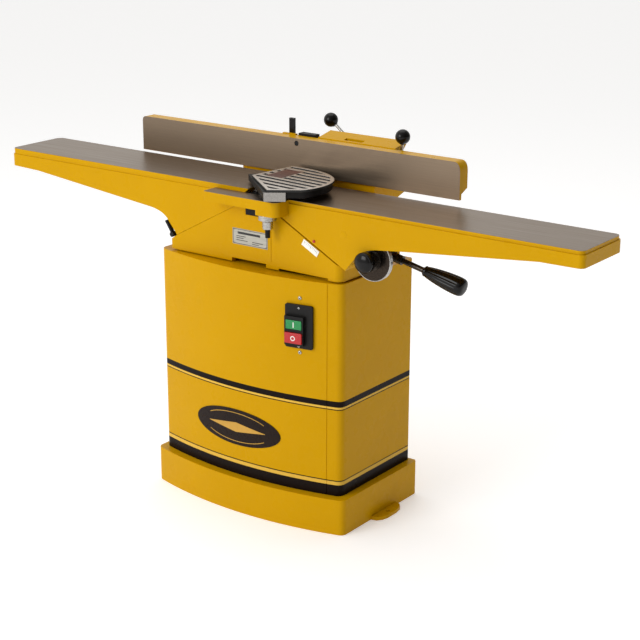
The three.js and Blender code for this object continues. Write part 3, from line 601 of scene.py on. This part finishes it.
bowedPatch("badgePlate", ellipseColumns(1.0), 0.0, badge["thickness"], "badgeBrown")
for label, side in (("Upper", 1), ("Lower", -1)):
    columns = arcColumns(badge["arcScale"], side, badge["arcWidth"], badge["arcStart"])
    bowedPatch("badgeArc" + label, columns, badge["thickness"], 0.3, "badgeGold")
lozenge = []
for i in range(21):
    u = -1 + i / 10
    reach = badge["lozengeHalfHigh"] * (1 - abs(u))
    lozenge.append((badge["x"] + badge["lozengeHalfWide"] * u, badge["z"] - reach - badge["edge"],
                    badge["z"] + reach + badge["edge"]))
bowedPatch("badgeLozenge", lozenge, badge["thickness"], 0.5, "badgeGold")
print("badge made")

# Nameplate on the base casting: a rolled plate, a dark border and rows that stand for print.
nameplate = {"x0": -88.0, "x1": 18.0, "z0": 665.0, "z1": 704.0, "front": 0.2, "thickness": 0.9}
n = nameplate
raisedPlate("nameplate", rectangle(n["x0"], n["x1"], n["z0"], n["z1"]), point(0, n["front"], 0),
            rightward, upward, n["thickness"], "rolledAluminium", "stand", 0.2)
border = {
    "Bottom": rectangle(n["x0"] + 1.5, n["x1"] - 1.5, n["z0"] + 1.5, n["z0"] + 2.7),
    "Top": rectangle(n["x0"] + 1.5, n["x1"] - 1.5, n["z1"] - 2.7, n["z1"] - 1.5),
    "Left": rectangle(n["x0"] + 1.5, n["x0"] + 2.7, n["z0"] + 2.7, n["z1"] - 2.7),
    "Right": rectangle(n["x1"] - 2.7, n["x1"] - 1.5, n["z0"] + 2.7, n["z1"] - 2.7),
}
rows = {
    "Heading": rectangle(n["x0"] + 16, n["x1"] - 22, 691, 696.5),
    "RowA": rectangle(n["x0"] + 12, n["x0"] + 40, 685, 686.6),
    "RowB": rectangle(n["x0"] + 12, n["x0"] + 34, 680, 681.6),
    "RowC": rectangle(n["x0"] + 12, n["x0"] + 46, 675, 676.6),
    "RowD": rectangle(n["x0"] + 60, n["x1"] - 14, 675, 676.6),
    "RowE": rectangle(n["x0"] + 60, n["x1"] - 26, 670.4, 672),
}
face = point(0, n["front"] - n["thickness"], 0)
for label, corners in {**border, **rows}.items():
    raisedPlate("nameplate" + label, corners, face, rightward, upward, 0.15, "blackInkAndRecessShade", "stand")


# A pan-head screw, its head facing along a direction; its cross recess is painted shade, two black bars
# laid on the head.
def screw(name, place, facing, radius, body, finishName="zincScrew"):
    high = radius * 0.55
    profile = [(radius, 0), (radius, high * 0.35), (radius * 0.86, high * 0.75), (radius * 0.5, high),
               (0.05, high)]
    turnedPiece(name, profile, place, facing, finishName, body, 24)
    facing = Vector(facing).normalized()
    side = facing.orthogonal().normalized()
    other = facing.cross(side)
    # Painted shade: the two black bars stand for the dark of the cross recess.
    for bar, (a, b) in enumerate(((side, other), (other, -side))):
        wide, long = radius * 0.13, radius * 0.5
        raisedPlate(f"{name}RecessShade{bar}", rectangle(-long, long, -wide, wide),
                    place + facing * high * 0.98 / 1000, a, b, 0.12, "blackInkAndRecessShade", body)


corners = [(x, z) for x in (n["x0"] + 4.5, n["x1"] - 4.5) for z in (n["z0"] + 4.5, n["z1"] - 4.5)]
for corner, (x, z) in enumerate(corners):
    screw(f"nameplateScrew{corner}", point(x, n["front"] - n["thickness"], z), frontward, 1.8, "stand")
print("nameplate made")

# Switch: screws above and below, and signs on the two buttons.
switch = {
    "x": 131.0,
    "z": 505.0,
    "turn": cabinetTurn(131.0),
    "plateScrews": {"Upper": 45, "Lower": -48.5},
    "cabinetScrews": {"Upper": 68, "Lower": -65},
    "buttonsLeft": -8.6,
    "startUp": 6.0,
    "stopUp": -26.0,
    "startOut": 16.5,
    "stopOut": 19.5,
}
switchAcross = Vector((math.cos(switch["turn"]), math.sin(switch["turn"]), 0))
switchOut = Vector((math.sin(switch["turn"]), -math.cos(switch["turn"]), 0))
switchPlace = point(switch["x"], cabinetFront(switch["x"]) - 1.2, switch["z"])
for label, dz in switch["plateScrews"].items():
    place = switchPlace + switchOut * 0.005 + Vector((0, 0, dz / 1000))
    screw("switchScrew" + label, place, switchOut, 2.8, "stand")
for label, dz in switch["cabinetScrews"].items():
    place = point(switch["x"], cabinetFront(switch["x"]) - 0.1, switch["z"] + dz)
    screw("cabinetScrew" + label, place, switchOut, 4.6, "stand")
buttonsMiddle = switchPlace + switchAcross * switch["buttonsLeft"] / 1000
startFace = buttonsMiddle + (switchOut * switch["startOut"] + Vector((0, 0, switch["startUp"]))) / 1000
stopFace = buttonsMiddle + (switchOut * switch["stopOut"] + Vector((0, 0, switch["stopUp"]))) / 1000
raisedPlate("startSign", rectangle(-1.2, 1.2, -6.5, 6.5), startFace, switchAcross, upward, 0.3,
            "whitePaint", "start_button")

# The stop sign is a flat ring: an outer and an inner circle, each with a back and a front edge.
ringSides = 28
ringTurns = [2 * math.pi * i / ringSides for i in range(ringSides)]
verts, faces = [], []
for radius in (6.0, 6.0 * 0.66):
    for depth in (0.0, 0.3):
        verts += [stopFace + (switchAcross * math.cos(a) * radius + Vector((0, 0, math.sin(a) * radius))
                              + switchOut * depth) / 1000 for a in ringTurns]
for i in range(ringSides):
    j = (i + 1) % ringSides
    o0, o1, i0, i1 = 0, ringSides, 2 * ringSides, 3 * ringSides
    faces += [(o1 + i, o1 + j, i1 + j, i1 + i), (o0 + i, o0 + j, o1 + j, o1 + i),
              (i0 + i, i1 + i, i1 + j, i0 + j), (o0 + i, i0 + i, i0 + j, o0 + j)]
addPiece("stopSign", verts, faces, "whitePaint", "stop_button", False)
print("switch dressed")


# Ball knobs on the two lock levers.
def ballKnob(name, node, body, leverTop):
    low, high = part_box(node)
    centre = (low + high) / 2
    radius = (high.z - low.z) * 500
    axis = (centre - leverTop).normalized()
    profile = [(0.34 * radius, -radius * 1.0), (0.40 * radius, -radius * 0.96)]
    for i in range(3, 25):
        a = math.pi * i / 24
        profile.append((max(radius * math.sin(a), 0.05), -radius * math.cos(a)))
    turnedPiece(name, profile, centre, axis, "glossPhenolic", body, 48,
                replaced=(node,))


ballKnob("tiltLockBall", "tilt_lock_knob", "tilt_lock", point(232, 238, 876))
ballKnob("slideLockBall", "slide_lock_knob", "slide_lock", point(60, 345, 829))

# The infeed lever's fluted grip, and the domed knob that locks the table.
lever = {
    "x": 305.0,
    "y": 79.0,
    "z": 685.0,
    "drop": math.radians(12.7),
    "out": 102.3,
    "flutes": 14,
    "discFront": 15,
    "knobFront": -2.3,
}
leverAlong = Vector((math.cos(lever["drop"]), 0, -math.sin(lever["drop"])))
gripStart = point(lever["x"], lever["y"], lever["z"]) + leverAlong * lever["out"] / 1000
gripProfile = [(7, 0), (10, 0), (11, 1), (12.6, 3), (12, 6), (13, 9), (14.6, 16), (16.6, 28),
               (18.4, 42), (19.9, 56), (20.9, 70), (21.5, 83), (21.5, 93), (20.7, 101), (18.2, 106),
               (13, 108.6), (6, 109), (0.1, 109)]


# The flutes fade in past the collar and out before the end.
def gripFlute(h, angle):
    depth = 0.055 * max(0.0, min(1.0, (h - 12) / 10)) * max(0.0, min(1.0, (100 - h) / 8))
    return 1 - depth * (0.5 + 0.5 * math.cos(lever["flutes"] * angle)) ** 2


turnedPiece("leverGrip", gripProfile, gripStart, leverAlong, "glossPhenolic", "infeed_lever",
            112, gripFlute, ("infeed_lever_grip",))
knobStart = point(lever["x"], lever["knobFront"], lever["z"])
knobProfile = [(13, 0), (14, 1), (22, 2.5), (24, 5), (24, 16.5), (23.4, 19), (22, 20.2), (20.6, 20.2),
               (20, 20.8), (17.5, 22.4), (13, 24), (7, 25.4), (0.1, 26)]
turnedPiece("tableLockKnob", knobProfile, knobStart, frontward, "glossPhenolic", "infeed_lock_knob",
            64, replaced=("infeed_lock_knob",))
# The disc's face carries painted shade: polished steel given a dark colour for the table's shade over
# it.
discProfile = [(24.5, 14.85), (24.5, 14.7), (47, 14.7), (48.4, 14.95), (24.5, 14.95)]
turnedPiece("leverDiscFace", discProfile, point(lever["x"], 0, lever["z"]), backward,
            "polishedSteelPaintedShade", "infeed_lever", 72)
rimProfile = [(50.0, 0), (50.6, 0.6), (50.6, 9.4), (50.0, 10), (48.5, 10.15), (48.5, -0.15), (50.0, 0)]
turnedPiece("leverDiscRim", rimProfile, point(lever["x"], lever["discFront"], lever["z"]), backward,
            "turnedSteel", "infeed_lever", 72)
print("knobs and grip made")

# The guard's machined face, beside its front corner.
guardEdge = {
    "corner": (62.5, -71.5),
    "far": (104.5, -41.5),
    "inset": 0.9,
    "thickness": 1.4,
    "from": 0.6,
    "to": 51.0,
    "bottom": 801.4,
    "top": 822.8,
}
edgeRun = (Vector(guardEdge["far"]) - Vector(guardEdge["corner"])).normalized()
faceOrigin = point(guardEdge["corner"][0] - edgeRun.y * guardEdge["inset"],
                   guardEdge["corner"][1] + edgeRun.x * guardEdge["inset"], 0)
faceOutline = rectangle(guardEdge["from"], guardEdge["to"], guardEdge["bottom"], guardEdge["top"])
raisedPlate("guardMachinedFace", faceOutline, faceOrigin, (edgeRun.x, edgeRun.y, 0), upward,
            guardEdge["thickness"], "groundKnifeSteel", "guard", 0.4)

# The label on the guard's plate, left blank.
raisedPlate("guardLabel", rectangle(-25.0, 22.5, 49.0, 133.0), point(0, 0, guardTop), rightward,
            backward, 0.3, "labelFoil", "guard")

# Ticks on the depth scale, square to its slope.
scale = {"x": 143.5, "z": 690.0, "slope": math.radians(28.2), "face": -1.2, "pitch": 4, "halfTick": 0.3}
scaleAlong = Vector((math.cos(scale["slope"]), 0, -math.sin(scale["slope"])))
scaleUp = Vector((math.sin(scale["slope"]), 0, math.cos(scale["slope"])))
scaleOrigin = point(scale["x"], scale["face"], scale["z"])
for tick in range(11):
    along = (tick - 5) * scale["pitch"]
    length = 7 if tick % 5 == 0 else 4
    outline = rectangle(along - scale["halfTick"], along + scale["halfTick"], 5.5 - length, 5.5)
    raisedPlate(f"scaleTick{tick}", outline, scaleOrigin, scaleAlong, scaleUp, 0.1, "blackInkAndRecessShade", "stand")

# The plug in the infeed casting's front.
turnedPiece("castingPlug", [(9.5, 0), (9.5, 0.15), (9.1, 0.3), (0.1, 0.3)], point(236, 0, 735),
            frontward, "goldEnamel", "infeed_table", 40)

# Rear panel: screws round its edge and pressed louvres for the motor's air.
panel = {"x0": -205.0, "x1": 125.0, "z0": 135.0, "z1": 485.0, "back": 298.0}
screwLevels = (panel["z0"] + 12, panel["z1"] - 12)
spots = [(x, z) for x in (panel["x0"] + 12, -40, panel["x1"] - 12) for z in screwLevels]
spots += [(x, 310) for x in (panel["x0"] + 12, panel["x1"] - 12)]
for index, (x, z) in enumerate(spots):
    screw(f"panelScrew{index}", point(x, panel["back"], z), backward, 4.2, "stand")
louvres = {
    "count": 7,
    "lowest": 215,
    "pitch": 26,
    "middle": -40,
    "halfWide": 95,
    "steps": 24,
    "section": [(0, -7), (4.6, -6.2), (5.6, -5.0), (0, 7)],
}
for index in range(louvres["count"]):
    z = louvres["lowest"] + index * louvres["pitch"]
    section = louvres["section"]
    turns = [math.pi * (1 - k / louvres["steps"]) for k in range(louvres["steps"] + 1)]
    xs = [louvres["middle"] + louvres["halfWide"] * math.cos(turn) for turn in turns]
    verts, faces = [], []
    for x, turn in zip(xs, turns):
        swell = max(math.sin(turn), 0.02) ** 0.35
        verts += [point(x, panel["back"] + depth * swell, z + dz * swell) for depth, dz in section]
    for k in range(len(xs) - 1):
        for e in range(4):
            a, b = k * 4 + e, k * 4 + (e + 1) % 4
            faces.append((a, b, b + 4, a + 4))
    faces += [(3, 2, 1, 0), tuple((len(xs) - 1) * 4 + e for e in range(4))]
    addPiece(f"panelLouvre{index}", verts, faces, "goldEnamel", "stand", False)
print("rear panel dressed")
